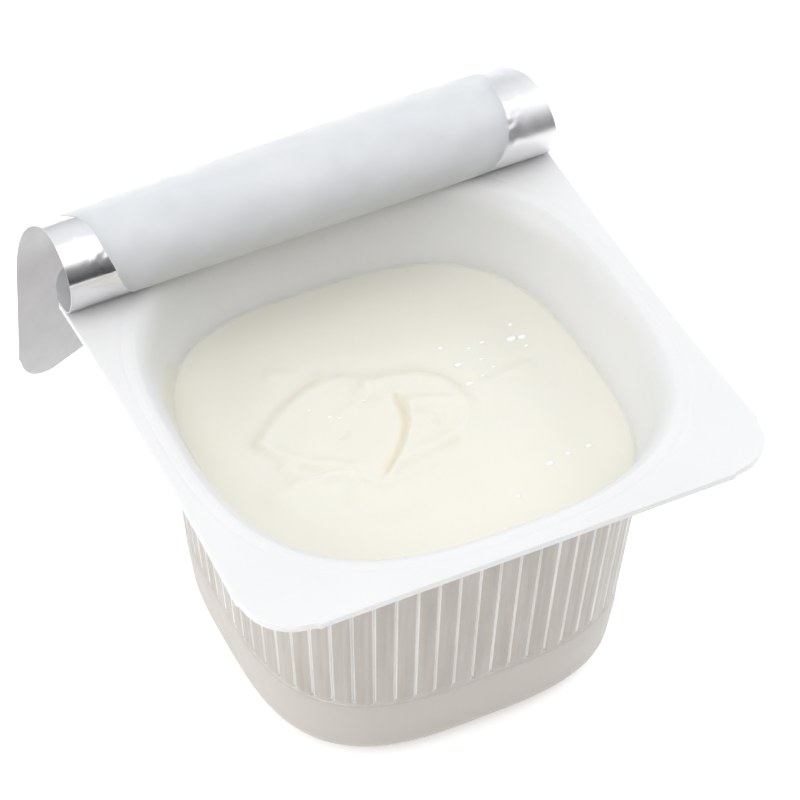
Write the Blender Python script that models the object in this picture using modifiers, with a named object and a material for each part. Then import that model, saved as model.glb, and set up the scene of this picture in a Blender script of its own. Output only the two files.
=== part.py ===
"""A small square yogurt pot, opened: the ribbed cup, the yogurt in it and the foil lid peeled back.

Metres, +Z up. The origin is the centre of the base, which stands on the ground.
The lid is still stuck along the pot's back edge, which is at +Y.
"""

import math

import bmesh
import bpy
import numpy as np

# Pot
HEIGHT = 0.0476
FLANGE_WIDTH = 0.0750
FLANGE_THICKNESS = 0.0009
FLANGE_WAIST = 0.0005
CORNER_RADIUS = 0.0070
CORNER_INSET = 0.0004
CORNER_START = 0.0082
NICK_LENGTH = 0.0008
FLOOR_THICKNESS = 0.0009
BASE_HALF = 0.0272
BASE_ROUNDING = 0.0036
BODY_POWER = 3.15
LIP_POWER = 2.8

# Upright panels round the cup, each with a groove on either side and a shallow one along it
PANEL_COUNT = 68
PANEL_RISE = 0.0003
PANEL_DIP = 0.00016
PANEL_TOP_DEPTH = 0.0092
PANEL_FULL_DEPTH = 0.0104
PANEL_END_DEPTH = 0.0354
PANEL_END_ROUNDING = 0.0007
PANEL_END_STEP = 0.0003
FLOOR_HALF_TOP = 0.02947
FLOOR_HALF_END = 0.02763

# Yogurt
YOGURT_DEPTH = 0.0120
YOGURT_RINGS = 13
GAP = 0.0003

# Lid: the middle of the line where it leaves the flange, and how far the roll's axis turns from X
LID_THICKNESS = 0.0003
LID_PEEL = 0.0290
LID_ROLL_TURN = math.radians(1.15)
LID_COLUMNS = 14
# The roll's side view from that line on: the radius of each bend and how far it turns, in degrees
LID_BENDS = ((0.0029, 57.7), (0.0075, 33.3), (0.0040, 30.6), (0.0068, 90.0), (0.0223, 54.7))
# Towards the right the roll is tighter, and its end, from the fourth bend on, opens out
LID_TIGHTER = 0.114
LID_TAIL_FIRST_BEND = 3
LID_TAIL_OPENING = 0.177


def clear_scene():
    for item in list(bpy.data.objects):
        bpy.data.objects.remove(item, do_unlink=True)


def make_collection(name):
    collection = bpy.data.collections.new(name)
    bpy.context.scene.collection.children.link(collection)
    return collection


def make_material(name, colour, roughness, metallic=0.0):
    material = bpy.data.materials.new(name)
    material.use_nodes = True
    shader = material.node_tree.nodes["Principled BSDF"]
    shader.inputs["Base Color"].default_value = (*colour, 1.0)
    shader.inputs["Roughness"].default_value = roughness
    shader.inputs["Metallic"].default_value = metallic
    return material


def add_mesh(name, points, faces, collection, material):
    """Makes an object of the given points and faces."""
    mesh = bpy.data.meshes.new(name)
    mesh.from_pydata([tuple(map(float, point)) for point in points], [], faces)
    mesh.materials.append(material)
    mesh.shade_smooth()
    mesh.set_sharp_from_angle(angle=math.radians(35.0))
    piece = bpy.data.objects.new(name, mesh)
    collection.objects.link(piece)
    return piece


def rounded_square(half, power, fractions, offset=0.0):
    """Points of a superellipse at fractions of its perimeter, from +X counterclockwise.

    offset, one value or one for each point, moves them out along the outline's normal.
    """
    angle = np.linspace(0.0, 2.0 * math.pi, 4001)
    cosine, sine = np.cos(angle), np.sin(angle)
    x = half * np.sign(cosine) * np.abs(cosine) ** (2.0 / power)
    y = half * np.sign(sine) * np.abs(sine) ** (2.0 / power)
    length = np.concatenate([[0.0], np.cumsum(np.hypot(np.diff(x), np.diff(y)))])
    length /= length[-1]
    wanted = np.asarray(fractions) % 1.0
    points = np.column_stack([np.interp(wanted, length, x), np.interp(wanted, length, y)])
    slope_x = np.abs(points[:, 0] / half) ** (power - 1.0) * np.sign(points[:, 0])
    slope_y = np.abs(points[:, 1] / half) ** (power - 1.0) * np.sign(points[:, 1])
    normals = np.column_stack([slope_x, slope_y])
    normals /= np.linalg.norm(normals, axis=1)[:, None]
    return points + normals * np.reshape(offset, (-1, 1))


def smooth_fractions():
    """Two points for each panel, where the outline is plain."""
    return np.arange(2 * PANEL_COUNT) / (2.0 * PANEL_COUNT)


# Where the points of one panel lie, as fractions of its pitch, and how far each stands proud
PANEL_FRACTIONS = (0.06, 0.11, 0.40, 0.55, 0.70, 0.89, 0.94)
PANEL_HEIGHTS = (0.0, PANEL_RISE, PANEL_RISE, PANEL_RISE - PANEL_DIP, PANEL_RISE, PANEL_RISE, 0.0)
PANEL_CORNERS = (1.0, 1.0, 0.0, 0.0, 0.0, 1.0, 1.0)


def panel_fractions():
    return (np.arange(PANEL_COUNT)[:, None] + np.array(PANEL_FRACTIONS)[None]).ravel() / PANEL_COUNT


def ring(fractions, depth, half, power, offset=0.0):
    """One ring of the cup at a depth below the flange's top."""
    flat = rounded_square(half, power, fractions, offset)
    height = np.broadcast_to(HEIGHT - np.asarray(depth), (len(flat),))
    return np.column_stack([flat, height])


def flange_eighth(waist, side_steps, arc_steps):
    """The flange's outline from the middle of the side at +X to the diagonal."""
    half = FLANGE_WIDTH / 2.0
    corner = half - CORNER_START
    along = np.linspace(0.0, 1.0, side_steps + 1)
    points = [(half - waist * (1.0 - t * t), t * corner) for t in along]
    centre = half - CORNER_INSET - CORNER_RADIUS
    points.append((half + 0.00005, corner + 0.4 * NICK_LENGTH))
    for turn in np.linspace(0.0, 45.0, arc_steps + 1):
        turn = math.radians(turn)
        points.append((centre + CORNER_RADIUS * math.cos(turn), centre + CORNER_RADIUS * math.sin(turn)))
    return np.array(points)


def flange_outline(side_steps=12, arc_steps=3):
    """The square flange: slightly waisted left and right, each corner cut round between two nicks."""
    waisted = flange_eighth(FLANGE_WAIST, side_steps, arc_steps)
    straight = flange_eighth(0.0, side_steps, arc_steps)
    quarter = np.vstack([waisted, straight[:-1, ::-1][::-1]])
    second = quarter[1:-1][::-1] * (-1.0, 1.0)
    upper = np.vstack([quarter, second, [(-waisted[0, 0], 0.0)]])
    lower = upper[1:-1][::-1] * (1.0, -1.0)
    return np.vstack([upper, lower])


def flange_ring(depth):
    outline = flange_outline()
    return np.column_stack([outline, np.full(len(outline), HEIGHT - depth)])


def cup_rings():
    """The cup's rings from the outer base up, over the flange and down inside, each with its fractions."""
    plain = smooth_fractions()
    ribbed = panel_fractions()
    rise = np.tile(PANEL_HEIGHTS, PANEL_COUNT)
    corner = np.tile(PANEL_CORNERS, PANEL_COUNT) * PANEL_END_ROUNDING
    rings = []
    for turn in (0.0, 35.0, 65.0, 90.0):
        turn = math.radians(turn)
        half = BASE_HALF - BASE_ROUNDING * (1.0 - math.sin(turn))
        lift = BASE_ROUNDING * (1.0 - math.cos(turn))
        rings.append((plain, ring(plain, HEIGHT - lift, half, BODY_POWER)))
    rings.append((plain, ring(plain, PANEL_END_DEPTH + 0.0006, FLOOR_HALF_END, BODY_POWER)))
    rings.append((ribbed, ring(ribbed, PANEL_END_DEPTH - corner, FLOOR_HALF_END, BODY_POWER)))
    lower = PANEL_END_DEPTH - PANEL_END_STEP - corner
    rings.append((ribbed, ring(ribbed, lower, FLOOR_HALF_END, BODY_POWER, rise)))
    rings.append((ribbed, ring(ribbed, PANEL_FULL_DEPTH, FLOOR_HALF_TOP, BODY_POWER, rise)))
    rings.append((ribbed, ring(ribbed, PANEL_TOP_DEPTH, FLOOR_HALF_TOP + 0.0005, BODY_POWER)))
    for depth, half, power in OUTER_NECK:
        rings.append((plain, ring(plain, depth, half, power)))
    rings.append((plain, flange_ring(FLANGE_THICKNESS)))
    rings.append((plain, flange_ring(0.0)))
    for depth, half, power in FLANGE_TOP + INNER_WALL:
        rings.append((plain, ring(plain, depth, half, power)))
    return rings


# Stations below the flange's top: depth, half-width and squareness
OUTER_NECK = (
    (0.0038, 0.0317, 2.95),
    (0.0021, 0.0322, 2.85),
    (FLANGE_THICKNESS, 0.0342, LIP_POWER),
)
# A sealing groove, then a soft lip that slopes to the opening's sharper edge
FLANGE_TOP = (
    (0.0, 0.0355, LIP_POWER),
    (0.0002, 0.0352, LIP_POWER),
    (0.0001, 0.0349, LIP_POWER),
    (0.0001, 0.0340, LIP_POWER),
    (0.0007, 0.0329, LIP_POWER),
    (0.0017, 0.0320, LIP_POWER),
    (0.0030, 0.0314, LIP_POWER),
)
# The wall leans in a little down to the ribbed part, which is nearly upright
INNER_WALL = (
    (0.0084, 0.0296, 2.95),
    (0.0104, 0.0291, 2.98),
    (0.0120, 0.02895, 3.0),
    (0.0420, 0.0264, BODY_POWER),
    (0.0452, 0.0253, BODY_POWER),
    (HEIGHT - FLOOR_THICKNESS, 0.0228, BODY_POWER),
)


def bridge(first, second, start_first, start_second):
    """Triangles between two closed rings of unlike counts, each given by its points' fractions."""
    faces = []
    i = j = 0
    count_first, count_second = len(first), len(second)
    while i < count_first or j < count_second:
        next_first = first[i + 1] if i + 1 < count_first else first[0] + 1.0
        next_second = second[j + 1] if j + 1 < count_second else second[0] + 1.0
        a = start_first + i % count_first
        b = start_second + j % count_second
        if i < count_first and (j >= count_second or next_first <= next_second):
            faces.append((a, start_first + (i + 1) % count_first, b))
            i += 1
        else:
            faces.append((a, start_second + (j + 1) % count_second, b))
            j += 1
    return faces


def loft(rings):
    """A closed skin through the rings, with a flat cap at each end."""
    starts = np.cumsum([0] + [len(points) for _, points in rings])
    points = np.vstack([points for _, points in rings])
    faces = [tuple(range(len(rings[0][1])))[::-1]]
    for index in range(len(rings) - 1):
        first, second = rings[index], rings[index + 1]
        start, following = int(starts[index]), int(starts[index + 1])
        count = len(first[1])
        if count == len(second[1]):
            for k in range(count):
                n = (k + 1) % count
                faces.append((start + k, start + n, following + n, following + k))
        else:
            faces.extend(bridge(first[0], second[0], start, following))
    faces.append(tuple(range(int(starts[-2]), int(starts[-1]))))
    return points, faces


def make_pot(collection):
    plastic = make_material("White pot plastic", (0.87, 0.86, 0.84), 0.35)
    points, faces = loft(cup_rings())
    return add_mesh("pot", points, faces, collection, plastic)


# Low forms in the yogurt: height, half-width, then the line that each follows
SWIRL_CENTRE = (-0.0042, 0.0026)
SWIRL_SIZE = (0.0150, 0.0085)
SWIRL_TURN = math.radians(-13.0)
SWIRL_RISE = 0.0006
RIDGES = (
    (0.0008, 0.0011, ((-0.0177, 0.0058), (-0.0122, 0.0092), (-0.0057, 0.0110), (-0.0007, 0.0102))),
    (0.0010, 0.0014, ((-0.0007, 0.0102), (0.0048, 0.0080), (0.0089, 0.0052), (0.0103, 0.0016))),
    (-0.0008, 0.0009, ((0.0015, 0.0056), (0.0007, 0.0010), (-0.0017, -0.0034), (-0.0057, -0.0074))),
    (0.0006, 0.0010, ((-0.0185, 0.0046), (-0.0147, -0.0010), (-0.0097, -0.0034), (-0.0057, -0.0036))),
    (0.0006, 0.0009, ((-0.0157, -0.0040), (-0.0122, -0.0046), (-0.0077, -0.0058), (-0.0065, -0.0080))),
    (0.0007, 0.0020, ((-0.0267, -0.0014), (-0.0212, -0.0060), (-0.0167, -0.0089), (-0.0107, -0.0112))),
    (0.0007, 0.0022, ((-0.0107, -0.0112), (-0.0027, -0.0124), (0.0063, -0.0106), (0.0133, -0.0074))),
    (0.0006, 0.0012, ((0.0033, 0.0046), (0.0063, 0.0032), (0.0095, 0.0030))),
    (0.0005, 0.0012, ((-0.0122, 0.0152), (-0.0102, 0.0148))),
    (-0.0005, 0.0022, ((-0.0197, 0.0086), (-0.0117, 0.0122), (-0.0027, 0.0134), (0.0083, 0.0106))),
)


def distance_to_line(x, y, line):
    nearest = np.full(np.shape(x), np.inf)
    for (x0, y0), (x1, y1) in zip(line[:-1], line[1:]):
        dx, dy = x1 - x0, y1 - y0
        t = np.clip(((x - x0) * dx + (y - y0) * dy) / (dx * dx + dy * dy), 0.0, 1.0)
        nearest = np.minimum(nearest, np.hypot(x - x0 - t * dx, y - y0 - t * dy))
    return nearest


def yogurt_relief(x, y):
    """How far the yogurt's surface stands over its level: a low oval swirl and the ridges round it."""
    dx, dy = x - SWIRL_CENTRE[0], y - SWIRL_CENTRE[1]
    along = (dx * math.cos(SWIRL_TURN) + dy * math.sin(SWIRL_TURN)) / SWIRL_SIZE[0]
    across = (dy * math.cos(SWIRL_TURN) - dx * math.sin(SWIRL_TURN)) / SWIRL_SIZE[1]
    height = SWIRL_RISE * np.clip(2.2 * (1.0 - np.hypot(along, across)), 0.0, 1.0)
    for rise, width, line in RIDGES:
        height = height + rise * np.exp(-((distance_to_line(x, y, line) / width) ** 2))
    return height


def inner_wall(depth):
    """The inner wall's half-width and squareness at a depth below the flange's top."""
    depths = [station[0] for station in INNER_WALL]
    half = np.interp(depth, depths, [station[1] for station in INNER_WALL])
    power = np.interp(depth, depths, [station[2] for station in INNER_WALL])
    return float(half), float(power)


def make_yogurt(collection):
    cream = make_material("Cream yogurt", (0.90, 0.88, 0.76), 0.3)
    around = np.arange(PANEL_COUNT) / PANEL_COUNT
    rings = []
    floor = HEIGHT - FLOOR_THICKNESS - GAP
    for depth in (floor, 0.0450, 0.0418, YOGURT_DEPTH):
        half, power = inner_wall(min(depth + GAP, HEIGHT - FLOOR_THICKNESS))
        rings.append((around, ring(around, depth, half - GAP - 0.0001, power)))
    rim, power = inner_wall(YOGURT_DEPTH)
    rim -= GAP + 0.0001
    for step in range(1, YOGURT_RINGS + 1):
        inward = 1.0 - step / (YOGURT_RINGS + 0.6)
        flat = rounded_square(rim * inward, power - (1.0 - inward), around)
        settle = min(1.0, (1.0 - inward) * 8.0)
        top = yogurt_relief(flat[:, 0], flat[:, 1]) * settle
        rings.append((around, np.column_stack([flat, HEIGHT - YOGURT_DEPTH + top])))
    points, faces = loft(rings)
    return add_mesh("yogurt", points, faces, collection, cream)


def lid_half_width(y):
    """Half the flat lid's width, at y on the flange that it was cut to."""
    half = FLANGE_WIDTH / 2.0
    corner = half - CORNER_INSET - CORNER_RADIUS
    beyond = abs(y) - corner
    if beyond <= 0.0:
        return half - FLANGE_WAIST * (1.0 - (y / corner) ** 2)
    reach = min(beyond, CORNER_RADIUS)
    return corner + math.sqrt(max(CORNER_RADIUS**2 - reach**2, 0.0)) + 0.0001


def peeled(x, y):
    """Where a point of the lid's underside goes that lay at x, y on the flange; z is over the flange."""
    cosine, sine = math.cos(LID_ROLL_TURN), math.sin(LID_ROLL_TURN)
    along = x * cosine + (y - LID_PEEL) * sine
    past = x * sine - (y - LID_PEEL) * cosine
    ease = 1.0 - (0.5 - along / FLANGE_WIDTH) ** 2
    forward = min(past, 0.0)
    left = max(past, 0.0)
    z = 0.0
    heading = 0.0
    for index, (radius, turn) in enumerate(LID_BENDS):
        radius *= 1.0 - LID_TIGHTER * ease
        length = radius * math.radians(turn)
        if index >= LID_TAIL_FIRST_BEND:
            radius *= 1.0 + LID_TAIL_OPENING * ease
        step = min(left, length)
        reached = heading + step / radius
        forward += radius * (math.sin(reached) - math.sin(heading))
        z += radius * (math.cos(heading) - math.cos(reached))
        heading = reached
        left -= step
    forward += left * math.cos(heading)
    z += left * math.sin(heading)
    return along * cosine + forward * sine, LID_PEEL + along * sine - forward * cosine, z


def lid_rows():
    """The y of each row across the flat lid, closer together at the corners and where it rolls."""
    edge = FLANGE_WIDTH / 2.0 - CORNER_INSET
    turns = np.radians([0.0, 25.0, 50.0, 72.0, 90.0])
    corner = edge - CORNER_RADIUS * (1.0 - np.cos(turns))
    fold = np.arange(0.0290, 0.0190, -0.00095)
    roll = np.arange(0.0188, 0.0060, -0.0014)
    tail = np.linspace(0.0050, CORNER_RADIUS - edge + 0.0040, 11)
    return np.concatenate([corner, fold, roll, tail, -corner[::-1]])


def make_lid(collection):
    foil = make_material("Foil lid", (0.72, 0.72, 0.73), 0.3, 1.0)
    rows = lid_rows()
    points = []
    for y in rows:
        half = lid_half_width(y)
        for column in range(LID_COLUMNS):
            x = half * (2.0 * column / (LID_COLUMNS - 1) - 1.0)
            across, back, over = peeled(x, y)
            points.append((across, back, HEIGHT + GAP + over))
    faces = []
    for row in range(len(rows) - 1):
        for column in range(LID_COLUMNS - 1):
            a = row * LID_COLUMNS + column
            b = a + LID_COLUMNS
            faces.append((a, b, b + 1, a + 1))
    lid = add_mesh("lid", points, faces, collection, foil)
    sheet = lid.modifiers.new("Thickness", "SOLIDIFY")
    sheet.thickness = LID_THICKNESS
    sheet.offset = 1.0
    return lid


def main():
    clear_scene()
    collection = make_collection("yogurt pot")
    make_pot(collection)
    make_yogurt(collection)
    make_lid(collection)


main()
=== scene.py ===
"""The looks of the yogurt pot: plastic cup, yogurt, and foil lid with its film of yogurt."""

import math

import bpy
import numpy as np
from mathutils import Matrix, Vector


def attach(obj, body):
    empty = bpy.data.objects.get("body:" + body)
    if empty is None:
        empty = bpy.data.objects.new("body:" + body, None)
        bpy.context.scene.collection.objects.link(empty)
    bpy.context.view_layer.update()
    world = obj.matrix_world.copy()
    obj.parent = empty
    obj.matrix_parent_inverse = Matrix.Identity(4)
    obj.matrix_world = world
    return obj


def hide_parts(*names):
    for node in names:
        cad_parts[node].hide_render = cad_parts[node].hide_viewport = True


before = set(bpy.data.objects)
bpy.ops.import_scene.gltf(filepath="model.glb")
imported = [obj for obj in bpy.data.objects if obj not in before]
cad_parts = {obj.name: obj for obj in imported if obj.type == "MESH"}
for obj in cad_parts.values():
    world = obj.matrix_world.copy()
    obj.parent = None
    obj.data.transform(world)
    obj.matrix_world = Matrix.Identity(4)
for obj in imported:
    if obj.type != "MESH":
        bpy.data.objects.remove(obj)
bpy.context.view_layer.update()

scene = bpy.context.scene

# Sizes in millimetres, in the model's frame: the base's centre is the origin, the lid is at +Y
HEIGHT = 47.6
FLANGE_HALF = 37.5
FLANGE_THICKNESS = 0.9
FLANGE_WAIST = 0.5
CORNER_RADIUS = 7.0
CORNER_INSET = 0.4
CORNER_START = 8.2
FLOOR_THICKNESS = 0.9
BASE_HALF = 27.2
BASE_ROUNDING = 3.6
BODY_POWER = 3.15
LIP_POWER = 2.8
PANELS = 68
YOGURT_DEPTH = 12.0
# One of the script's units in the scene's metres
MILLIMETRE = 0.001


# Camera and light


# The camera, fitted to the photograph's lines: degrees, millimetres from the flange's middle, and its lens
CAMERA_AZIMUTH = -26.726
CAMERA_ELEVATION = 45.398
CAMERA_ROLL = 0.969
CAMERA_DISTANCE = 415.237
CAMERA_SHIFT_RIGHT = 0.349
CAMERA_SHIFT_UP = 5.462
CAMERA_SENSOR = 36.0
CAMERA_LENS = 139.8076

# The studio: the sky's brightness from its darkest side to its brightest
SKY_STOPS = (
    (0.0, 0.04, 0.04, 0.04),
    (0.25, 0.09, 0.09, 0.09),
    (0.5, 0.28, 0.28, 0.285),
    (0.72, 0.72, 0.73, 0.75),
    (1.0, 1.05, 1.07, 1.10),
)
SKY_BRIGHTEST_TOWARDS = (0.23, 0.45, 0.80)
SKY_STRENGTH = 0.92
# Each lamp's name, place, target and size in metres, and its power in watts
LAMPS = (
    ("softbox_above", (-0.05, -0.15, 1.00), (0.0, 0.0, 0.04), (1.0, 1.0), 3.1),
    ("softbox_left", (-0.75, 0.10, 0.35), (0.0, 0.0, 0.03), (0.5, 0.5), 2.45),
    ("softbox_right", (0.75, 0.00, 0.46), (0.0, 0.0, 0.03), (0.4, 0.4), 1.65),
    ("softbox_front", (-0.50, -0.65, 0.75), (0.0, 0.0, 0.04), (0.5, 0.5), 2.4),
    ("window_right", (0.65, 0.35, 0.50), (0.0, 0.0, 0.04), (0.12, 0.18), 0.35),
)
FLOOR_REACH = 3.0
FLOOR_GLOW = 0.30


def place_camera():
    """A long lens from the front left, above."""
    azimuth, elevation = math.radians(CAMERA_AZIMUTH), math.radians(CAMERA_ELEVATION)
    roll = math.radians(CAMERA_ROLL)
    back = Vector(
        (
            math.sin(azimuth) * math.cos(elevation),
            -math.cos(azimuth) * math.cos(elevation),
            math.sin(elevation),
        )
    )
    right = Vector((math.cos(azimuth), math.sin(azimuth), 0.0))
    up = back.cross(right)
    right_rolled = right * math.cos(roll) + up * math.sin(roll)
    up_rolled = up * math.cos(roll) - right * math.sin(roll)
    where = back * CAMERA_DISTANCE - right_rolled * CAMERA_SHIFT_RIGHT - up_rolled * CAMERA_SHIFT_UP
    where.z += HEIGHT
    where *= MILLIMETRE
    data = bpy.data.cameras.new("camera")
    data.sensor_width = CAMERA_SENSOR
    data.lens = CAMERA_LENS
    data.clip_start = 0.01
    data.clip_end = 20.0
    camera = bpy.data.objects.new("camera", data)
    axes = Matrix((right_rolled, up_rolled, back)).transposed()
    camera.matrix_world = Matrix.Translation(where) @ axes.to_4x4()
    scene.collection.objects.link(camera)
    scene.camera = camera


def area_light(name, where, target, size, power):
    data = bpy.data.lights.new(name, "AREA")
    data.shape = "RECTANGLE"
    data.size, data.size_y = size
    data.energy = power
    lamp = bpy.data.objects.new(name, data)
    lamp.location = where
    aim = Vector(target) - Vector(where)
    lamp.rotation_euler = aim.to_track_quat("-Z", "Y").to_euler()
    scene.collection.objects.link(lamp)


def dot_product(tree, vector, other):
    node = tree.nodes.new("ShaderNodeVectorMath")
    node.operation = "DOT_PRODUCT"
    node.inputs[1].default_value = other
    tree.links.new(vector, node.inputs[0])
    return node.outputs["Value"]


def light_the_scene():
    world = bpy.data.worlds.new("studio")
    scene.world = world
    world.use_nodes = True
    tree = world.node_tree
    tree.nodes.clear()
    output = tree.nodes.new("ShaderNodeOutputWorld")
    background = tree.nodes.new("ShaderNodeBackground")
    place = tree.nodes.new("ShaderNodeTexCoord")
    ramp = tree.nodes.new("ShaderNodeValToRGB")
    ramp.color_ramp.elements[0].position = SKY_STOPS[0][0]
    ramp.color_ramp.elements[1].position = SKY_STOPS[-1][0]
    for stop in SKY_STOPS[1:-1]:
        ramp.color_ramp.elements.new(stop[0])
    for element, stop in zip(ramp.color_ramp.elements, SKY_STOPS):
        element.color = (*stop[1:], 1.0)
    # Brightest overhead and beyond the pot, darkest at the horizon on the camera's side
    lean = dot_product(tree, place.outputs["Generated"], SKY_BRIGHTEST_TOWARDS)
    lean_range = tree.nodes.new("ShaderNodeMapRange")
    lean_range.inputs["From Min"].default_value = -0.5
    lean_range.inputs["From Max"].default_value = 0.95
    tree.links.new(lean, lean_range.inputs["Value"])
    tree.links.new(lean_range.outputs["Result"], ramp.inputs[0])
    tree.links.new(ramp.outputs[0], background.inputs["Color"])
    background.inputs["Strength"].default_value = SKY_STRENGTH
    tree.links.new(background.outputs[0], output.inputs["Surface"])
    for name, where, target, size, power in LAMPS:
        area_light(name, where, target, size, power)


def make_floor():
    mesh = bpy.data.meshes.new("floor")
    reach = FLOOR_REACH
    corners = [(-reach, -reach, 0.0), (reach, -reach, 0.0), (reach, reach, 0.0), (-reach, reach, 0.0)]
    mesh.from_pydata(corners, [], [(0, 1, 2, 3)])
    floor = bpy.data.objects.new("floor", mesh)
    scene.collection.objects.link(floor)
    material, nodes, links, shader = new_material("pale floor")
    shader.inputs["Base Color"].default_value = (0.93, 0.93, 0.93, 1.0)
    shader.inputs["Roughness"].default_value = 0.9
    shader.inputs["Emission Color"].default_value = (1.0, 1.0, 1.0, 1.0)
    shader.inputs["Emission Strength"].default_value = FLOOR_GLOW
    mesh.materials.append(material)


# Materials


def new_material(name):
    material = bpy.data.materials.new(name)
    material.use_nodes = True
    nodes, links = material.node_tree.nodes, material.node_tree.links
    return material, nodes, links, nodes["Principled BSDF"]


def noise(nodes, links, scale, detail=3.0, roughness=0.5, stretch=(1.0, 1.0, 1.0)):
    """A noise in the object's own coordinates; scale is in waves a metre."""
    place = nodes.new("ShaderNodeTexCoord")
    mapping = nodes.new("ShaderNodeMapping")
    mapping.inputs["Scale"].default_value = stretch
    texture = nodes.new("ShaderNodeTexNoise")
    texture.inputs["Scale"].default_value = scale
    texture.inputs["Detail"].default_value = detail
    texture.inputs["Roughness"].default_value = roughness
    links.new(place.outputs["Object"], mapping.inputs[0])
    links.new(mapping.outputs[0], texture.inputs["Vector"])
    return texture.outputs["Fac"]


def remap(nodes, links, value, low, high, start=0.3, stop=0.7):
    node = nodes.new("ShaderNodeMapRange")
    node.inputs["From Min"].default_value = start
    node.inputs["From Max"].default_value = stop
    node.inputs["To Min"].default_value = low
    node.inputs["To Max"].default_value = high
    links.new(value, node.inputs["Value"])
    return node.outputs["Result"]


def blend_colours(nodes, links, value, first, second):
    node = nodes.new("ShaderNodeMix")
    node.data_type = "RGBA"
    node.inputs[6].default_value = (*first, 1.0)
    node.inputs[7].default_value = (*second, 1.0)
    links.new(value, node.inputs[0])
    return node.outputs[2]


def bump(nodes, links, value, strength, distance, under=None):
    node = nodes.new("ShaderNodeBump")
    node.inputs["Strength"].default_value = strength
    node.inputs["Distance"].default_value = distance
    links.new(value, node.inputs["Height"])
    if under is not None:
        links.new(under, node.inputs["Normal"])
    return node.outputs["Normal"]


def white_plastic(name, first, second, clear):
    """The cup's plastic; clear is how far light gets into it."""
    material, nodes, links, shader = new_material(name)
    cloud = remap(nodes, links, noise(nodes, links, 45.0), 0.0, 1.0)
    links.new(blend_colours(nodes, links, cloud, first, second), shader.inputs["Base Color"])
    sheen = remap(nodes, links, noise(nodes, links, 220.0, 5.0), 0.30, 0.42)
    links.new(sheen, shader.inputs["Roughness"])
    drawn = noise(nodes, links, 900.0, 3.0, 0.6, (1.0, 1.0, 0.12))
    grain = noise(nodes, links, 2600.0, 2.0)
    coarse = bump(nodes, links, drawn, 0.2, 0.00004)
    links.new(bump(nodes, links, grain, 0.2, 0.00002, coarse), shader.inputs["Normal"])
    shader.inputs["Subsurface Weight"].default_value = clear
    shader.inputs["Subsurface Radius"].default_value = (1.0, 0.9, 0.75)
    shader.inputs["Subsurface Scale"].default_value = 0.0005
    shader.inputs["IOR"].default_value = 1.49
    return material


def drawn_plastic_painted_light(name, first, second):
    """The cup's outer wall, painted darker and warmer than its white plastic for the shade on it, warmed
    where the yogurt's colour shows through, with faint upright streaks from the way it is drawn; paler below
    the panels. Its copy for the grooves is painted pale instead, a painted highlight.
    """
    material, nodes, links, shader = new_material(name)
    # first and second are painted light: painted shade on the outer wall, painted highlight in the grooves.
    streak = remap(nodes, links, noise(nodes, links, 420.0, 4.0, 0.6, (1.0, 1.0, 0.05)), 0.0, 1.0)
    colour = blend_colours(nodes, links, streak, first, second)
    place = nodes.new("ShaderNodeTexCoord")
    split = nodes.new("ShaderNodeSeparateXYZ")
    links.new(place.outputs["Object"], split.inputs[0])
    # Below the panels the wall takes one fixed colour, a lighter painted shade than on the panels.
    panels = remap(nodes, links, split.outputs["Z"], 0.0, 1.0, 0.0110, 0.0135)
    both = nodes.new("ShaderNodeMix")
    both.data_type = "RGBA"
    both.inputs[6].default_value = (0.53, 0.495, 0.455, 1.0)
    links.new(panels, both.inputs[0])
    links.new(colour, both.inputs[7])
    links.new(both.outputs[2], shader.inputs["Base Color"])
    sheen = remap(nodes, links, noise(nodes, links, 220.0, 5.0), 0.28, 0.40)
    links.new(sheen, shader.inputs["Roughness"])
    drawn = noise(nodes, links, 1100.0, 4.0, 0.6, (1.0, 1.0, 0.05))
    grain = noise(nodes, links, 2600.0, 2.0)
    coarse = bump(nodes, links, drawn, 0.35, 0.00008)
    links.new(bump(nodes, links, grain, 0.2, 0.00002, coarse), shader.inputs["Normal"])
    shader.inputs["Subsurface Weight"].default_value = 0.15
    shader.inputs["Subsurface Radius"].default_value = (1.0, 0.9, 0.75)
    shader.inputs["Subsurface Scale"].default_value = 0.0005
    shader.inputs["IOR"].default_value = 1.49
    return material


def cream_yogurt(name, first, second):
    material, nodes, links, shader = new_material(name)
    cloud = remap(nodes, links, noise(nodes, links, 38.0, 2.0), 0.0, 1.0)
    colour = blend_colours(nodes, links, cloud, first, second)
    links.new(colour, shader.inputs["Base Color"])
    wet = remap(nodes, links, noise(nodes, links, 60.0, 3.0), 0.30, 0.40)
    links.new(wet, shader.inputs["Roughness"])
    soft = noise(nodes, links, 110.0, 2.0)
    fine = noise(nodes, links, 900.0, 2.0)
    gentle = bump(nodes, links, soft, 0.15, 0.0002)
    links.new(bump(nodes, links, fine, 0.1, 0.00001, gentle), shader.inputs["Normal"])
    shader.inputs["Subsurface Weight"].default_value = 0.4
    shader.inputs["Subsurface Radius"].default_value = (1.0, 0.9, 0.65)
    shader.inputs["Subsurface Scale"].default_value = 0.0006
    shader.inputs["IOR"].default_value = 1.38
    return material


def wet_drop_painted_highlight():
    material, nodes, links, shader = new_material("wet drops, paler for painted highlight")
    cloud = remap(nodes, links, noise(nodes, links, 900.0, 3.0), 0.0, 1.0)
    # The drops are painted paler than the yogurt's cream, a painted highlight that whitens their glints;
    # their gloss is their own.
    colour = blend_colours(nodes, links, cloud, (0.86, 0.86, 0.83), (0.90, 0.90, 0.88))
    links.new(colour, shader.inputs["Base Color"])
    wet = remap(nodes, links, noise(nodes, links, 1500.0, 3.0), 0.04, 0.10)
    links.new(wet, shader.inputs["Roughness"])
    ripple = noise(nodes, links, 2500.0, 2.0)
    links.new(bump(nodes, links, ripple, 0.1, 0.00001), shader.inputs["Normal"])
    shader.inputs["Coat Weight"].default_value = 0.6
    shader.inputs["Coat Roughness"].default_value = 0.04
    return material


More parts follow.
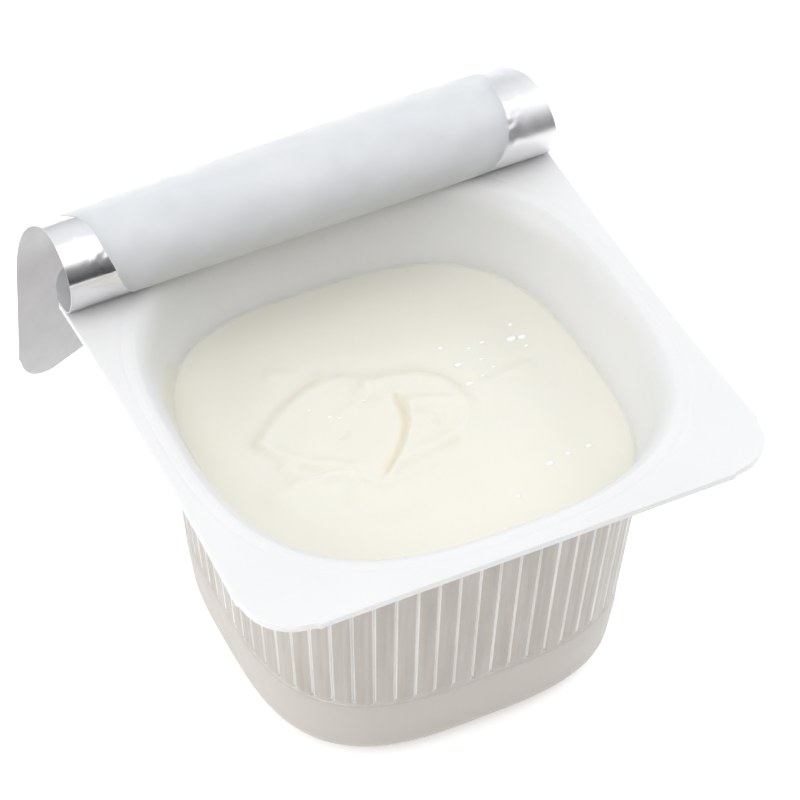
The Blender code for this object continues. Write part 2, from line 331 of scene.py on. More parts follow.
def yogurt_film():
    material, nodes, links, shader = new_material("film of yogurt")
    cloud = remap(nodes, links, noise(nodes, links, 110.0, 4.0), 0.0, 1.0)
    colour = blend_colours(nodes, links, cloud, (0.72, 0.735, 0.745), (0.775, 0.785, 0.79))
    links.new(colour, shader.inputs["Base Color"])
    wet = remap(nodes, links, noise(nodes, links, 300.0, 4.0), 0.28, 0.5)
    links.new(wet, shader.inputs["Roughness"])
    soft = noise(nodes, links, 350.0, 4.0, 0.6)
    links.new(bump(nodes, links, soft, 0.25, 0.00006), shader.inputs["Normal"])
    shader.inputs["Subsurface Weight"].default_value = 0.3
    shader.inputs["Subsurface Radius"].default_value = (1.0, 0.95, 0.85)
    shader.inputs["Subsurface Scale"].default_value = 0.0008
    return material


def bright_foil():
    material, nodes, links, shader = new_material("bright foil")
    cloud = remap(nodes, links, noise(nodes, links, 120.0, 4.0), 0.0, 1.0)
    colour = blend_colours(nodes, links, cloud, (0.77, 0.77, 0.78), (0.87, 0.87, 0.88))
    links.new(colour, shader.inputs["Base Color"])
    shader.inputs["Metallic"].default_value = 1.0
    worn = remap(nodes, links, noise(nodes, links, 400.0, 5.0, 0.6, (1.0, 0.1, 0.1)), 0.14, 0.24)
    place = nodes.new("ShaderNodeTexCoord")
    split = nodes.new("ShaderNodeSeparateXYZ")
    links.new(place.outputs["Object"], split.inputs[0])
    crumpled = remap(nodes, links, split.outputs["X"], 0.0, 0.22, 0.020, 0.030)
    both = nodes.new("ShaderNodeMath")
    links.new(worn, both.inputs[0])
    links.new(crumpled, both.inputs[1])
    links.new(both.outputs[0], shader.inputs["Roughness"])
    rolled = noise(nodes, links, 2400.0, 3.0, 0.6, (1.0, 0.05, 0.05))
    dented = noise(nodes, links, 160.0, 3.0)
    first = bump(nodes, links, dented, 0.25, 0.00006)
    links.new(bump(nodes, links, rolled, 0.2, 0.00002, first), shader.inputs["Normal"])
    return material


def matte_foil():
    material, nodes, links, shader = new_material("lacquered foil")
    cloud = remap(nodes, links, noise(nodes, links, 90.0, 4.0), 0.0, 1.0)
    colour = blend_colours(nodes, links, cloud, (0.60, 0.60, 0.61), (0.68, 0.68, 0.69))
    links.new(colour, shader.inputs["Base Color"])
    shader.inputs["Metallic"].default_value = 0.55
    worn = remap(nodes, links, noise(nodes, links, 500.0, 5.0), 0.36, 0.52)
    links.new(worn, shader.inputs["Roughness"])
    dented = noise(nodes, links, 200.0, 3.0)
    fine = noise(nodes, links, 2200.0, 2.0, 0.5, (1.0, 0.15, 0.15))
    first = bump(nodes, links, dented, 0.25, 0.00008)
    links.new(bump(nodes, links, fine, 0.15, 0.00003, first), shader.inputs["Normal"])
    return material


# Shapes


def smooth_step(low, high, value):
    t = np.clip((value - low) / (high - low), 0.0, 1.0)
    return t * t * (3.0 - 2.0 * t)


def hump(distance, width):
    return np.exp(-((distance / width) ** 2))


def rounded_square(half, power, count, offset=0.0):
    """count points evenly round a superellipse from +X, moved out along its normals by offset."""
    angle = np.linspace(0.0, 2.0 * math.pi, 8001)
    cosine, sine = np.cos(angle), np.sin(angle)
    x = half * np.sign(cosine) * np.abs(cosine) ** (2.0 / power)
    y = half * np.sign(sine) * np.abs(sine) ** (2.0 / power)
    length = np.concatenate([[0.0], np.cumsum(np.hypot(np.diff(x), np.diff(y)))])
    wanted = np.arange(count) / count * length[-1]
    px, py = np.interp(wanted, length, x), np.interp(wanted, length, y)
    nx = np.abs(px / half) ** (power - 1.0) * np.sign(px)
    ny = np.abs(py / half) ** (power - 1.0) * np.sign(py)
    size = np.hypot(nx, ny)
    return np.column_stack([px + offset * nx / size, py + offset * ny / size])


def flange_outline(count, inset=0.0):
    """The square flange, waisted a little left and right, each corner cut round between two nicks."""
    corner = FLANGE_HALF - CORNER_START
    centre = FLANGE_HALF - CORNER_INSET - CORNER_RADIUS

    def eighth(waist):
        along = np.linspace(0.0, 1.0, 60)
        side = np.column_stack([FLANGE_HALF - waist * (1.0 - along**2), along * corner])
        nick = np.array([(FLANGE_HALF + 0.05, corner + 0.15), (FLANGE_HALF + 0.04, corner + 0.45)])
        turn = np.radians(np.linspace(0.0, 45.0, 24))
        arc = centre + CORNER_RADIUS * np.column_stack([np.cos(turn), np.sin(turn)])
        return np.vstack([side, nick, arc])

    waisted, straight = eighth(FLANGE_WAIST), eighth(0.0)
    quarter = np.vstack([waisted, straight[:-1, ::-1][::-1]])
    upper = np.vstack([quarter, quarter[:-1][::-1] * (-1.0, 1.0)])
    lower = upper[1:-1][::-1] * (1.0, -1.0)
    points = np.vstack([upper, lower, upper[:1]])
    length = np.concatenate([[0.0], np.cumsum(np.hypot(*np.diff(points, axis=0).T))])
    wanted = np.arange(count) / count * length[-1]
    out = np.column_stack([np.interp(wanted, length, points[:, k]) for k in (0, 1)])
    if inset:
        out = out * (1.0 - inset / FLANGE_HALF)
    return out


def with_height(flat, height):
    return np.column_stack([flat, np.broadcast_to(height, (len(flat),))])


def skin(rings):
    """A closed surface through rings of points; a ring may have half as many as its neighbour."""
    starts = np.cumsum([0] + [len(ring) for ring in rings])
    points = np.vstack(rings)
    faces = [tuple(range(len(rings[0])))[::-1]]
    for index in range(len(rings) - 1):
        a, b = int(starts[index]), int(starts[index + 1])
        count, following = len(rings[index]), len(rings[index + 1])
        if count == following:
            k = np.arange(count)
            n = (k + 1) % count
            faces.extend(map(tuple, np.column_stack([a + k, a + n, b + n, b + k]).tolist()))
        elif count == 2 * following:
            for k in range(following):
                n = (k + 1) % following
                faces.append((a + 2 * k, a + 2 * k + 1, b + k))
                faces.append((a + 2 * k + 1, b + n, b + k))
                faces.append((a + 2 * k + 1, a + (2 * k + 2) % count, b + n))
    faces.append(tuple(range(int(starts[-2]), int(starts[-1]))))
    return points, faces


def add_piece(name, points, faces, materials, node=None, smooth_angle=40.0):
    mesh = bpy.data.meshes.new(name)
    mesh.from_pydata((np.asarray(points) * MILLIMETRE).tolist(), [], faces)
    for material in materials:
        mesh.materials.append(material)
    mesh.shade_smooth()
    mesh.set_sharp_from_angle(angle=math.radians(smooth_angle))
    piece = bpy.data.objects.new(name, mesh)
    scene.collection.objects.link(piece)
    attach(piece, "root")
    if node:
        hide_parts(node)
    return piece


# Pot


POINTS_PER_PANEL = 12
FINE = PANELS * POINTS_PER_PANEL
COARSE = FINE // 2
PANEL_PITCH = 3.04
PANEL_CORNER = 0.95
PANEL_RISE = 0.22
PANEL_END = 35.4
PANEL_STARTS = (8.9, 10.4)
PANEL_DISH = 0.17
# The outer wall's half-width at each depth, without the panels
OUTER_WALL = (
    (8.7, 30.13), (9.2, 29.97), (10.4, 29.47), (35.3, 27.64),
    (35.5, 27.78), (35.8, 27.86), (38.0, 27.84), (44.0, BASE_HALF),
)
# Depth, half-width and squareness of the neck from the panels up to the flange
OUTER_NECK = (
    (6.4, 30.87, 3.05), (3.8, 31.7, 2.95), (2.1, 32.2, 2.85), (1.4, 33.3, LIP_POWER), (1.0, 33.9, LIP_POWER),
)
UNDERSIDE_HALF = 34.2
SEAL_HALF = 35.6
CORNER_MARK_AT = 30.0
CORNER_MARK_RADIUS = 1.2


def panel_relief(depth):
    """How far the outer wall stands proud at each point round it: panels between narrow grooves."""
    t = (np.arange(FINE) / FINE * PANELS) % 1.0
    groove = np.minimum(t, 1.0 - t) * PANEL_PITCH
    side = smooth_step(0.04, 0.26, groove)
    corner = PANEL_CORNER
    inward = np.clip(corner - (groove - 0.2), 0.0, corner)
    end = PANEL_END - (corner - np.sqrt(np.maximum(corner**2 - inward**2, 0.0)))
    below = smooth_step(-0.02, 0.30, end - depth)
    above = smooth_step(*PANEL_STARTS, depth)
    fade = 0.9 - 0.55 * smooth_step(14.0, 34.0, depth)
    shallow = PANEL_DISH * fade * hump((t - 0.55) * PANEL_PITCH, 0.26)
    crown = 0.05 * (1.0 - ((t - 0.5) * 2.0) ** 2)
    lifted = 0.08 + (PANEL_RISE + crown - shallow) * side
    return lifted * below * above


def make_pot():
    rings = []
    turns = np.radians(np.linspace(0.0, 90.0, 9))
    rings.append(with_height(rounded_square(16.0, BODY_POWER, FINE), 0.0))
    for turn in turns:
        half = BASE_HALF - BASE_ROUNDING * (1.0 - math.sin(turn))
        height = BASE_ROUNDING * (1.0 - math.cos(turn))
        rings.append(with_height(rounded_square(half, BODY_POWER, FINE), height))
    depths = np.concatenate(
        [
            np.linspace(42.0, 37.0, 4),
            np.linspace(36.1, 34.0, 18),
            np.linspace(33.0, 12.0, 7),
            np.linspace(10.8, 8.7, 8),
        ]
    )
    first_band_row = len(rings)
    first_panel_row = len(rings) + int(np.argmax(depths < PANEL_END + 0.25))
    last_panel_row = len(rings) - 1 + len(depths)
    for depth in depths:
        half = np.interp(depth, *zip(*OUTER_WALL))
        flat = rounded_square(half, BODY_POWER, FINE, panel_relief(depth))
        rings.append(with_height(flat, HEIGHT - depth))
    for depth, half, power in OUTER_NECK:
        rings.append(with_height(rounded_square(half, power, COARSE), HEIGHT - depth))
    outside = len(skin(rings)[1]) - 1
    underside = rounded_square(UNDERSIDE_HALF, LIP_POWER, COARSE)
    outline = flange_outline(COARSE)
    inner_outline = flange_outline(COARSE, 0.15)
    for w in (0.0, 0.35, 0.7, 1.0):
        rings.append(with_height(underside * (1.0 - w) + inner_outline * w, HEIGHT - FLANGE_THICKNESS))
    rings.append(with_height(outline, HEIGHT - FLANGE_THICKNESS + 0.15))
    rings.append(with_height(outline, HEIGHT - 0.15))
    seal = rounded_square(SEAL_HALF, LIP_POWER, COARSE)
    for w in np.linspace(0.0, 1.0, 27):
        flat = inner_outline * (1.0 - w) + seal * w
        rings.append(with_height(flat, HEIGHT - corner_marks(flat)))
    for depth, half, power in inner_stations():
        count = COARSE
        wall = smooth_step(8.3, 9.4, depth)
        t = np.arange(count) / count * PANELS
        wave = -0.09 * wall * (0.5 + 0.5 * np.cos(t * 2.0 * math.pi)) ** 3
        rings.append(with_height(rounded_square(half, power, count, wave), HEIGHT - depth))
    points, faces = skin(rings)
    inner = white_plastic("white plastic, inside", (0.735, 0.735, 0.73), (0.76, 0.76, 0.76), 0.25)
    # The outside's colours are painted shade, darker and warmer than the inside's plastic.
    outer = drawn_plastic_painted_light("white plastic, outside, painted shade", (0.415, 0.38, 0.34), (0.52, 0.485, 0.445))
    # The grooves and the rows at the panels' lower ends are painted pale: painted highlight lines where lit
    # edges catch the light.
    thin = drawn_plastic_painted_light("white plastic in the grooves, painted highlight", (0.66, 0.64, 0.615), (0.86, 0.85, 0.83))
    pot = add_piece("pot_shell", points, faces, [inner, outer, thin], "pot", 32.0)
    indices = np.zeros(len(faces), dtype=np.int32)
    # Faces below the flange on the outside get the painted shade.
    indices[:outside] = 1
    # Painted highlight: the grooves' columns, and every face of the rows at the panels' lower ends, get the
    # pale copy.
    for row in range(first_panel_row, last_panel_row):
        start = 1 + row * FINE
        column = np.arange(FINE)
        place = column % POINTS_PER_PANEL
        below_panels = depths[row - first_band_row] > PANEL_END - 0.05
        grooves = (place == 0) | (place == POINTS_PER_PANEL - 1) | below_panels
        indices[start : start + FINE][grooves] = 2
    pot.data.polygons.foreach_set("material_index", indices)
    return pot


def corner_marks(flat):
    """A faint round mark pressed into each corner of the flange."""
    away = np.hypot(np.abs(flat[:, 0]) - CORNER_MARK_AT, np.abs(flat[:, 1]) - CORNER_MARK_AT)
    return 0.06 * hump(away - CORNER_MARK_RADIUS, 0.32)


def inner_stations():
    """Depth, half-width and squareness from the sealing groove over the lip and down inside."""
    named = [
        (0.02, 35.5), (0.06, 35.35), (0.09, 35.2), (0.06, 35.05), (0.03, 34.9), (0.02, 34.8),
        (0.02, 34.3), (0.05, 34.1), (0.12, 33.95), (0.11, 33.8), (0.16, 33.6), (0.3, 33.35),
        (0.5, 33.08), (0.75, 32.8), (1.05, 32.5), (1.4, 32.22), (1.8, 31.97), (2.2, 31.76),
        (2.55, 31.6), (2.8, 31.49), (3.0, 31.41), (3.2, 31.33), (3.6, 31.19), (4.6, 30.86),
        (6.0, 30.4), (7.4, 29.93), (8.4, 29.6), (9.4, 29.33),
    ]
    stations = []
    for depth, half in named:
        power = float(np.interp(depth, (3.0, 8.4, 9.4), (LIP_POWER, 2.95, 2.965)))
        stations.append((depth, half, power))
    for depth in (10.4, 11.2, 12.0, 13.5, 20.0, 30.0, 42.0):
        half = float(np.interp(depth, (8.4, 10.4, 12.0, 42.0), (29.6, 29.1, 28.95, 26.4)))
        stations.append((depth, half, float(np.interp(depth, (8.4, 12.0, 42.0), (2.95, 3.0, BODY_POWER)))))
    stations.append((45.2, 25.3, BODY_POWER))
    stations.append((HEIGHT - FLOOR_THICKNESS, 22.8, BODY_POWER))
    return stations


def inner_wall(depth):
    stations = [item for item in inner_stations() if item[0] > 2.5]
    depths, halves, powers = zip(*stations)
    return float(np.interp(depth, depths, halves)), float(np.interp(depth, depths, powers))


# Yogurt


SWIRL_CENTRE = (-4.6, 1.4)
SWIRL_SIZE = (14.8, 9.6)
SWIRL_TURN = math.radians(-9.0)
# How far the swirl's ridges are raised and widened over what the list below says
RIDGE_HEIGHTENED = 1.2
RIDGE_WIDENED = 1.25
# How far the yogurt creeps up the wall at its edge, and how much further the smear at the left goes
EDGE_CREEP = 0.3
SMEAR_HEIGHT = 8.85
SMEAR_TO_BACK = 0.78
SMEAR_TO_FRONT = 0.85
# Height, half-width, then the line that each low ridge or furrow follows
RIDGES = (
    (0.42, 1, ((-19.1, 3.9), (-15.7, 7.1), (-12.6, 9.0), (-9.5, 10.5),
        (-6.3, 11.1), (-3.6, 10.5), (-1.9, 8.6), (-1.4, 6.4))),
    (0.42, 1.1, ((-3.0, 6.8), (-0.7, 7.6), (1.7, 8.0), (3.7, 7.4), (5.9, 6.9), (7.6, 5.4),
        (8.9, 3.0), (9.5, 0.2), (8.8, -2.4), (6.9, -4.5), (4.1, -5.9))),
    (0.22, 0.7, ((-6.7, 4.5), (-4.6, 5.2), (-2.6, 5.5), (-0.4, 5.3), (1.5, 5.1))),
    (-0.5, 0.55, ((1.4, 4.0), (1.1, 1.6), (0.3, -0.5), (-1.7, -3.3), (-4.0, -5.8), (-6.1, -7.7))),
    (0.3, 0.8, ((2.6, 2.6), (1.0, -0.9), (-1.0, -3.7), (-3.4, -6.2), (-5.4, -7.8))),
    (0.35, 0.8, ((-19.1, 3.9), (-18.3, 2.0), (-16.8, -0.1), (-14.8, -2.3), (-11.9, -3.9), (-9.5, -5.4))),
    (0.25, 0.7, ((-18.1, -1.3), (-16.2, -3.7), (-14.0, -5.3), (-11.1, -5.5), (-9.7, -5.9))),
    (0.35, 0.8, ((-17.8, -4.9), (-15.2, -5.6), (-12.8, -5.5), (-10.8, -6.4), (-10.1, -8.6))),
    (-0.25, 0.5, ((-16.3, -2.4), (-14.4, -3.9), (-11.8, -4.7), (-10.0, -6.0))),
    (0.3, 0.8, ((-6.4, -8.5), (-3.5, -7.3), (-0.1, -6.4), (2.7, -6.3), (5.1, -6.0))),
    (0.3, 1.3, ((-11.3, -9.5), (-8.3, -11.0), (-4.6, -11.3), (-1.2, -11.1), (2.2, -10.4), (6.1, -8.6))),
    (0.3, 1.8, ((-20.9, -6.3), (-18.0, -5.9), (-14.7, -6.7), (-12.4, -8.2), (-10.6, -10.6))),
    (0.3, 2, ((-20.9, -6.3), (-19.8, -9.9), (-17.0, -13.4), (-13.1, -15.8), (-7.3, -17.4), (-1.5, -17.8))),
    (-0.2, 1.6, ((-18.8, -7.8), (-15.6, -10.3), (-11.0, -13.0), (-5.8, -14.5))),
    (-0.2, 0.7, ((14.4, 2.9), (17.5, 3.7), (20.9, 4.0))),
    (0.2, 0.7, ((14.3, 1.7), (17.4, 2.2), (20.8, 2.5))),
    (0.28, 0.95, ((-12.6, 15.5), (-10.8, 14.9))),
    (0.2, 0.7, ((-6.6, 12.7), (-5.6, 12.9))),
    (0.25, 0.6, ((3.5, 2.4), (5.9, 1.7), (7.9, 0.5))),
    (-0.25, 0.35, ((2.8, 0.8), (4.0, 0.2), (4.4, -1.0), (4.1, -2.6))),
    (-0.25, 0.45, ((-8.7, 0.8), (-8.0, 1.1))),
    (-0.25, 1.4, ((-16.7, 7.2), (-12.9, 10.3), (-9.6, 12.2), (-5.7, 13.5), (-2.2, 13.0), (0.7, 10.7),
        (3.6, 10.4), (7.4, 9.3), (10.2, 6.9), (11.4, 3.1), (11.0, -1.0), (8.7, -4.6))),
    (0.3, 3, ((10.6, -8.8), (17.2, -7.8), (22.8, -6.2))),
    (0.25, 2.6, ((-24.7, 12.1), (-24.0, 5.1), (-21.8, -2.1))),
)
# Where shade is painted on the yogurt, darker and warmer, along its creases: half-width, and the line
CREASES = (
    (0.4, ((1.3, 3.6), (1.1, 1.6), (0.3, -0.5), (-1.7, -3.3), (-4.0, -5.8), (-5.6, -7.3))),
    (0.15, ((4.9, 7.9), (7.2, 7.1), (9.3, 5.3), (10.6, 2.4))),
    (0.15, ((-12.4, 9.9), (-9.4, 11.5), (-6.0, 12.3))),
)
# Small bubbles and drops that catch the light: where they are, and their radius
DROPS = (
    (21.1, 8.0, 0.55), (22.6, 7.7, 0.5), (17.0, 9.1, 0.3), (11.2, 10.6, 0.35), (12.0, 6.7, 0.4),
    (14.8, 8.9, 0.25), (15.4, 6.2, 0.25), (16.2, 4.2, 0.22), (14.2, 3.4, 0.25), (11.8, 2.8, 0.4),
    (22.3, 5.9, 0.25), (22.2, 10.6, 0.3), (21.0, -14.9, 0.35), (17.7, -15.0, 0.3), (14.6, -15.6, 0.4),
    (7.9, -19.1, 0.3), (-10.6, 6.9, 0.22), (-8.6, 4.7, 0.25), (-7.5, 3.9, 0.2), (-3.2, 5.2, 0.2),
)
# Up the wall and down again over the creeping edge: share of its height, and how far it lies off the wall
EDGE_PROFILE = (
    (0.0, 0.03), (0.25, 0.03), (0.5, 0.03), (0.75, 0.03), (0.97, 0.02), (1.0, -0.03),
    (0.85, -0.09), (0.6, -0.12), (0.4, -0.13), (0.2, -0.15), (0.08, -0.2),
)
# A drop's reach and rise in radii, from underneath to its top, and how much longer than wide it is
DROP_PROFILE = ((0.5, -0.12), (1.0, -0.1), (1.0, -0.02), (0.9, 0.16), (0.7, 0.3), (0.45, 0.4), (0.2, 0.44))
DROP_STRETCH = 1.4


def distance_to_line(x, y, line):
    nearest = np.full(np.shape(x), np.inf)
    for (x0, y0), (x1, y1) in zip(line[:-1], line[1:]):
        dx, dy = x1 - x0, y1 - y0
        t = np.clip(((x - x0) * dx + (y - y0) * dy) / (dx * dx + dy * dy), 0.0, 1.0)
        nearest = np.minimum(nearest, np.hypot(x - x0 - t * dx, y - y0 - t * dy))
    return nearest


def yogurt_relief(x, y):
    dx, dy = x - SWIRL_CENTRE[0], y - SWIRL_CENTRE[1]
    along = (dx * math.cos(SWIRL_TURN) + dy * math.sin(SWIRL_TURN)) / SWIRL_SIZE[0]
    across = (dy * math.cos(SWIRL_TURN) - dx * math.sin(SWIRL_TURN)) / SWIRL_SIZE[1]
    away = np.hypot(along, across)
    height = 0.5 * (1.0 - smooth_step(0.72, 1.12, away)) - 0.3 * (1.0 - smooth_step(0.1, 0.8, away))
    for rise, width, line in RIDGES:
        away = distance_to_line(x, y, line)
        height = height + RIDGE_HEIGHTENED * rise * hump(away, RIDGE_WIDENED * width)
    return height


def make_drops():
    """Small wet drops and bubbles on the yogurt, each a low dome."""
    points, faces = [], []
    around = np.linspace(0.0, 2.0 * math.pi, 24, endpoint=False)
    for x, y, radius in DROPS:
        base = HEIGHT - YOGURT_DEPTH + float(yogurt_relief(np.array([x]), np.array([y]))[0])
        rings = []
        for reach, rise in DROP_PROFILE:
            long, short = DROP_STRETCH * radius * reach, radius * reach
            flat = np.column_stack([x + long * np.cos(around), y + short * np.sin(around)])
            rings.append(with_height(flat, base + rise * radius))
        own_points, own_faces = skin(rings)
        shift = sum(len(item) for item in points)
        points.append(own_points)
        faces.extend(tuple(index + shift for index in face) for face in own_faces)
    return add_piece("yogurt_drops", np.vstack(points), faces, [wet_drop_painted_highlight()], None, 60.0)


def climb(flat):
    """How far yogurt smeared on the cup's wall reaches up from the level: most at the left."""
    turn = np.arctan2(flat[:, 1], flat[:, 0])
    away = math.pi - np.abs(turn)
    past = np.where(turn > 0.0, away / SMEAR_TO_BACK, away / SMEAR_TO_FRONT)
    uneven = 0.12 * np.sin(9.0 * turn) + 0.08 * np.sin(23.0 * turn + 1.0)
    return EDGE_CREEP + (SMEAR_HEIGHT + uneven) * smooth_step(1.0, 0.8, past)


def make_yogurt():
    count = 480
    rings = []
    floor = HEIGHT - FLOOR_THICKNESS - 0.1
    for depth in (floor, 45.1, 42.0, 30.0, 20.0, 13.0, YOGURT_DEPTH + 0.2):
        half, power = inner_wall(depth)
        rings.append(with_height(rounded_square(half - 0.06, power, count), HEIGHT - depth))
    rim, power = inner_wall(YOGURT_DEPTH)
    rise = climb(rounded_square(rim, power, count))
    for share, off in EDGE_PROFILE:
        depth = YOGURT_DEPTH - rise * share
        walls = np.array([inner_wall(value) for value in depth])
        flat = rounded_square(rim, power, count)
        flat = flat * ((walls[:, 0] + off) / rim)[:, None]
        rings.append(with_height(flat, HEIGHT - depth))
    rim -= 0.32
    steps = 125
    for step in range(steps + 1):
        inward = 1.0 - step / (steps + 0.6)
        flat = rounded_square(rim * inward, power - 1.0 * (1.0 - inward), count)
        settle = smooth_step(0.0, 0.12, 1.0 - inward)
        top = yogurt_relief(flat[:, 0], flat[:, 1]) * settle
        rings.append(with_height(flat, HEIGHT - YOGURT_DEPTH + top))
    points, faces = skin(rings)
    cream = cream_yogurt("cream yogurt", (0.752, 0.735, 0.652), (0.772, 0.757, 0.682))
    # These two copies paint shade along the creases: darker and warmer than the yogurt's own cream.
    crease_edge_painted_shade = cream_yogurt("yogurt beside the creases, painted shade", (0.748, 0.72, 0.615), (0.768, 0.742, 0.645))
    crease_painted_shade = cream_yogurt("yogurt in the creases, painted shade", (0.735, 0.685, 0.555), (0.755, 0.71, 0.585))
    yogurt = add_piece("yogurt_cream", points, faces, [cream, crease_edge_painted_shade, crease_painted_shade], "yogurt", 50.0)
    corners = np.array([face[:4] for face in faces[1:-1]])
    middle = np.asarray(points)[corners].mean(axis=1)
    on_top = middle[:, 2] > HEIGHT - YOGURT_DEPTH - 1.0
    indices = np.zeros(len(faces), dtype=np.int32)
    # Faces near a crease get the painted shade: the darker copy within its half-width, the paler copy out to
    # 2.2 half-widths.
    for width, line in CREASES:
        away = distance_to_line(middle[:, 0], middle[:, 1], line)
        indices[1:-1][(away < 2.2 * width) & on_top] = 1
        indices[1:-1][(away < width) & on_top] = 2
    yogurt.data.polygons.foreach_set("material_index", indices)
    return yogurt


# Lid


LID_GAP = 0.3
LID_THICKNESS = 0.1
LID_PEEL = 29.0
LID_ROLL_TURN = math.radians(1.15)
LID_BENDS = ((2.9, 57.7), (7.5, 33.3), (4.0, 30.6), (6.8, 90.0), (22.3, 54.7))
LID_TIGHTER = 0.114
LID_TAIL_FIRST_BEND = 3
LID_TAIL_OPENING = 0.177
LID_EDGE_TRIM = 0.05
LID_FURTHEST_BACK = 61.67


def lid_half_width(y):
    corner = FLANGE_HALF - CORNER_INSET - CORNER_RADIUS
    beyond = np.clip(np.abs(y) - corner, 0.0, CORNER_RADIUS)
    straight = FLANGE_HALF - FLANGE_WAIST * (1.0 - (y / corner) ** 2)
    arc = corner + np.sqrt(np.maximum(CORNER_RADIUS**2 - beyond**2, 0.0)) + 0.1
    return np.where(np.abs(y) <= corner, straight, arc)


def peeled(x, y):
    """Where points of the lid's underside go that lay at x, y on the flange, and the way it faces there."""
    cosine, sine = math.cos(LID_ROLL_TURN), math.sin(LID_ROLL_TURN)
    along = x * cosine + (y - LID_PEEL) * sine
    past = x * sine - (y - LID_PEEL) * cosine
    ease = 1.0 - (0.5 - along / (2.0 * FLANGE_HALF)) ** 2
    forward = np.minimum(past, 0.0)
    left = np.maximum(past, 0.0)
    z = np.zeros_like(past)
    heading = np.zeros_like(past)
    for index, (radius, turn) in enumerate(LID_BENDS):
        bend = radius * (1.0 - LID_TIGHTER * ease)
        length = bend * math.radians(turn)
        if index >= LID_TAIL_FIRST_BEND:
            bend = bend * (1.0 + LID_TAIL_OPENING * ease)
        step = np.minimum(left, length)
        reached = heading + step / bend
        forward = forward + bend * (np.sin(reached) - np.sin(heading))
        z = z + bend * (np.cos(heading) - np.cos(reached))
        heading = reached
        left = left - step
    forward = forward + left * np.cos(heading)
    z = z + left * np.sin(heading)
    where = np.stack([along * cosine + forward * sine, LID_PEEL + along * sine - forward * cosine, z], -1)
    faces_to = np.stack([np.sin(heading) * sine, -np.sin(heading) * cosine, -np.cos(heading)], -1)
    return where, faces_to


def squareness(x, y, power=LIP_POWER):
    return (np.abs(x) ** power + np.abs(y) ** power) ** (1.0 / power)


def waves(x, y, count, longest, seed):
    """Smooth uneven relief of about unit size: a sum of seeded sine waves."""
    rng = np.random.default_rng(seed)
    total = np.zeros_like(x)
    for _ in range(count):
        turn = rng.uniform(0.0, 2.0 * math.pi)
        length = longest * rng.uniform(0.35, 1.0)
        phase = rng.uniform(0.0, 2.0 * math.pi)
        total = total + np.sin((x * math.cos(turn) + y * math.sin(turn)) * 2.0 * math.pi / length + phase)
    return total / math.sqrt(count)


def lid_relief(x, y):
    """The foil's own marks: the two lines of the seal, and small crinkles where they cross the fold."""
    at = squareness(x, y)
    marks = 0.08 * hump(at - 34.4, 0.25) + 0.06 * hump(at - 33.4, 0.22)
    creased = hump(at - 33.9, 1.3) * smooth_step(14.0, 19.0, y) * smooth_step(28.0, 25.0, y)
    right = smooth_step(24.0, 32.0, x)
    crinkles = (0.045 + 0.03 * right) * waves(x, y, 14, 2.2, 7) * creased
    slack = 0.03 * waves(x, y, 10, 26.0, 3)
    return marks + crinkles + slack * smooth_step(29.0, 24.0, y) * smooth_step(-37.0, -28.0, y)


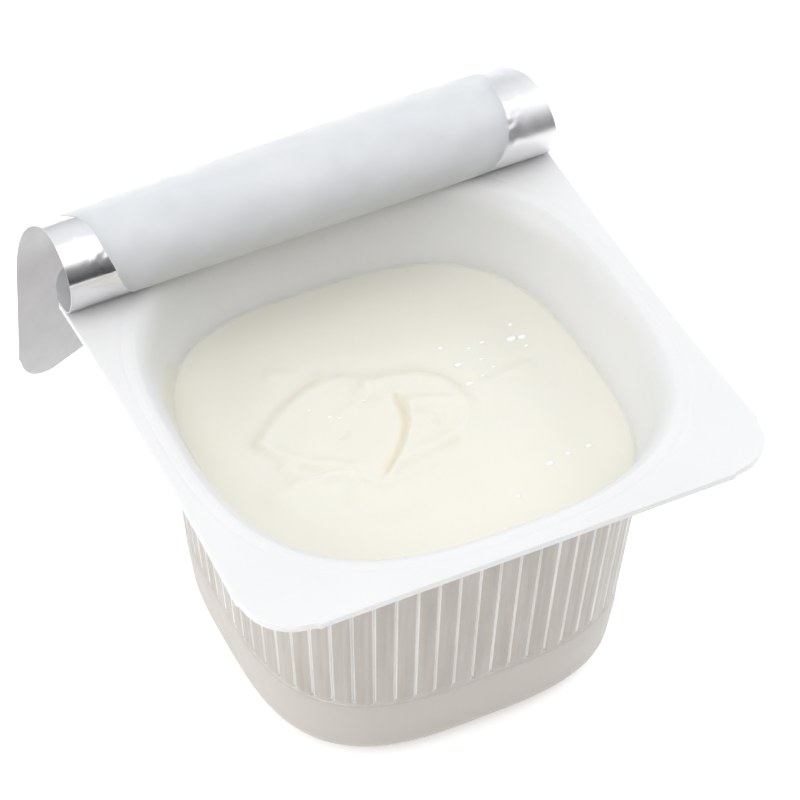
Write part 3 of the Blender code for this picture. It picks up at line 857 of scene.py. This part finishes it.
def make_lid():
    edge = FLANGE_HALF - CORNER_INSET - LID_EDGE_TRIM
    turns = np.radians(np.linspace(0.0, 90.0, 12))
    corner = edge - CORNER_RADIUS * (1.0 - np.cos(turns))
    middle = np.linspace(corner[-1], -corner[-1], 190)[1:-1]
    rows = np.concatenate([corner, middle, -corner[::-1]])
    columns = 150
    across = np.linspace(-1.0, 1.0, columns)
    half = lid_half_width(rows)
    x = half[:, None] * across[None]
    y = np.broadcast_to(rows[:, None], x.shape)
    where, faces_to = peeled(x, y)
    relief = lid_relief(x, y)
    base = np.array([0.0, 0.0, HEIGHT + LID_GAP])
    under = where + base + faces_to * relief[..., None]
    over = under - faces_to * LID_THICKNESS
    points = np.vstack([under.reshape(-1, 3), over.reshape(-1, 3)])
    points[:, 1] = np.minimum(points[:, 1], LID_FURTHEST_BACK)
    total = len(rows) * columns
    faces = []
    indices = []
    for row in range(len(rows) - 1):
        a = row * columns + np.arange(columns - 1)
        b = a + columns
        faces.extend(map(tuple, np.column_stack([a, a + 1, b + 1, b]).tolist()))
        faces.extend(map(tuple, (np.column_stack([a, b, b + 1, a + 1]) + total).tolist()))
        indices.extend([0] * (columns - 1) + [1] * (columns - 1))
    rim = list(range(columns))
    rim += [row * columns + columns - 1 for row in range(1, len(rows))]
    rim += [(len(rows) - 1) * columns + column for column in range(columns - 2, -1, -1)]
    rim += [row * columns for row in range(len(rows) - 2, 0, -1)]
    for a, b in zip(rim, rim[1:] + rim[:1]):
        faces.append((b, a, a + total, b + total))
        indices.append(1)
    lid = add_piece("foil_lid", points, faces, [bright_foil(), matte_foil()], "lid", 60.0)
    lid.data.polygons.foreach_set("material_index", indices)
    return lid


FILM_HALF = 31.6
FILM_POWER = 4.0
FILM_BACK = 28.2
FILM_OFF_FOIL = 0.02
FILM_EDGE = 0.04
FILM_DEPTH = 0.05
FILM_UNEVEN = 0.011


def make_film():
    """The thin film of yogurt on the lid's underside, inside the pot's opening."""
    steps, count = 90, 420
    angle = np.linspace(0.0, 2.0 * math.pi, count, endpoint=False)
    outer = rounded_square(FILM_HALF, FILM_POWER, count)
    ragged = 1.0 + 0.006 * np.sin(5.0 * angle + 1.0) + 0.005 * np.sin(11.0 * angle)
    ragged = ragged + 0.003 * np.sin(23.0 * angle + 2.0)
    outer = outer * ragged[:, None]
    outer[:, 0] *= 1.0 + 0.035 * smooth_step(14.0, 5.0, outer[:, 1])
    outer[:, 1] = np.minimum(outer[:, 1], FILM_BACK)
    rings_under, rings_over = [], []
    base = np.array([0.0, 0.0, HEIGHT + LID_GAP])
    for step in range(steps + 1):
        inward = 1.0 - step / (steps + 0.5)
        x, y = outer[:, 0] * inward, outer[:, 1] * inward
        where, faces_to = peeled(x, y)
        thick = FILM_EDGE + FILM_DEPTH * smooth_step(0.0, 0.05, 1.0 - inward)
        thick = thick + FILM_UNEVEN * waves(x, y, 12, 9.0, 11)
        relief = lid_relief(x, y)
        rings_under.append(where + base + faces_to * (relief + FILM_OFF_FOIL)[..., None])
        rings_over.append(where + base + faces_to * (relief + np.maximum(thick, FILM_EDGE))[..., None])
    rings = rings_over[::-1] + rings_under
    points, faces = skin(rings)
    return add_piece("lid_film", points, faces, [yogurt_film()], None, 80.0)


scene.view_settings.view_transform = "Standard"
place_camera()
light_the_scene()
make_floor()
make_pot()
make_yogurt()
make_drops()
make_lid()
make_film()
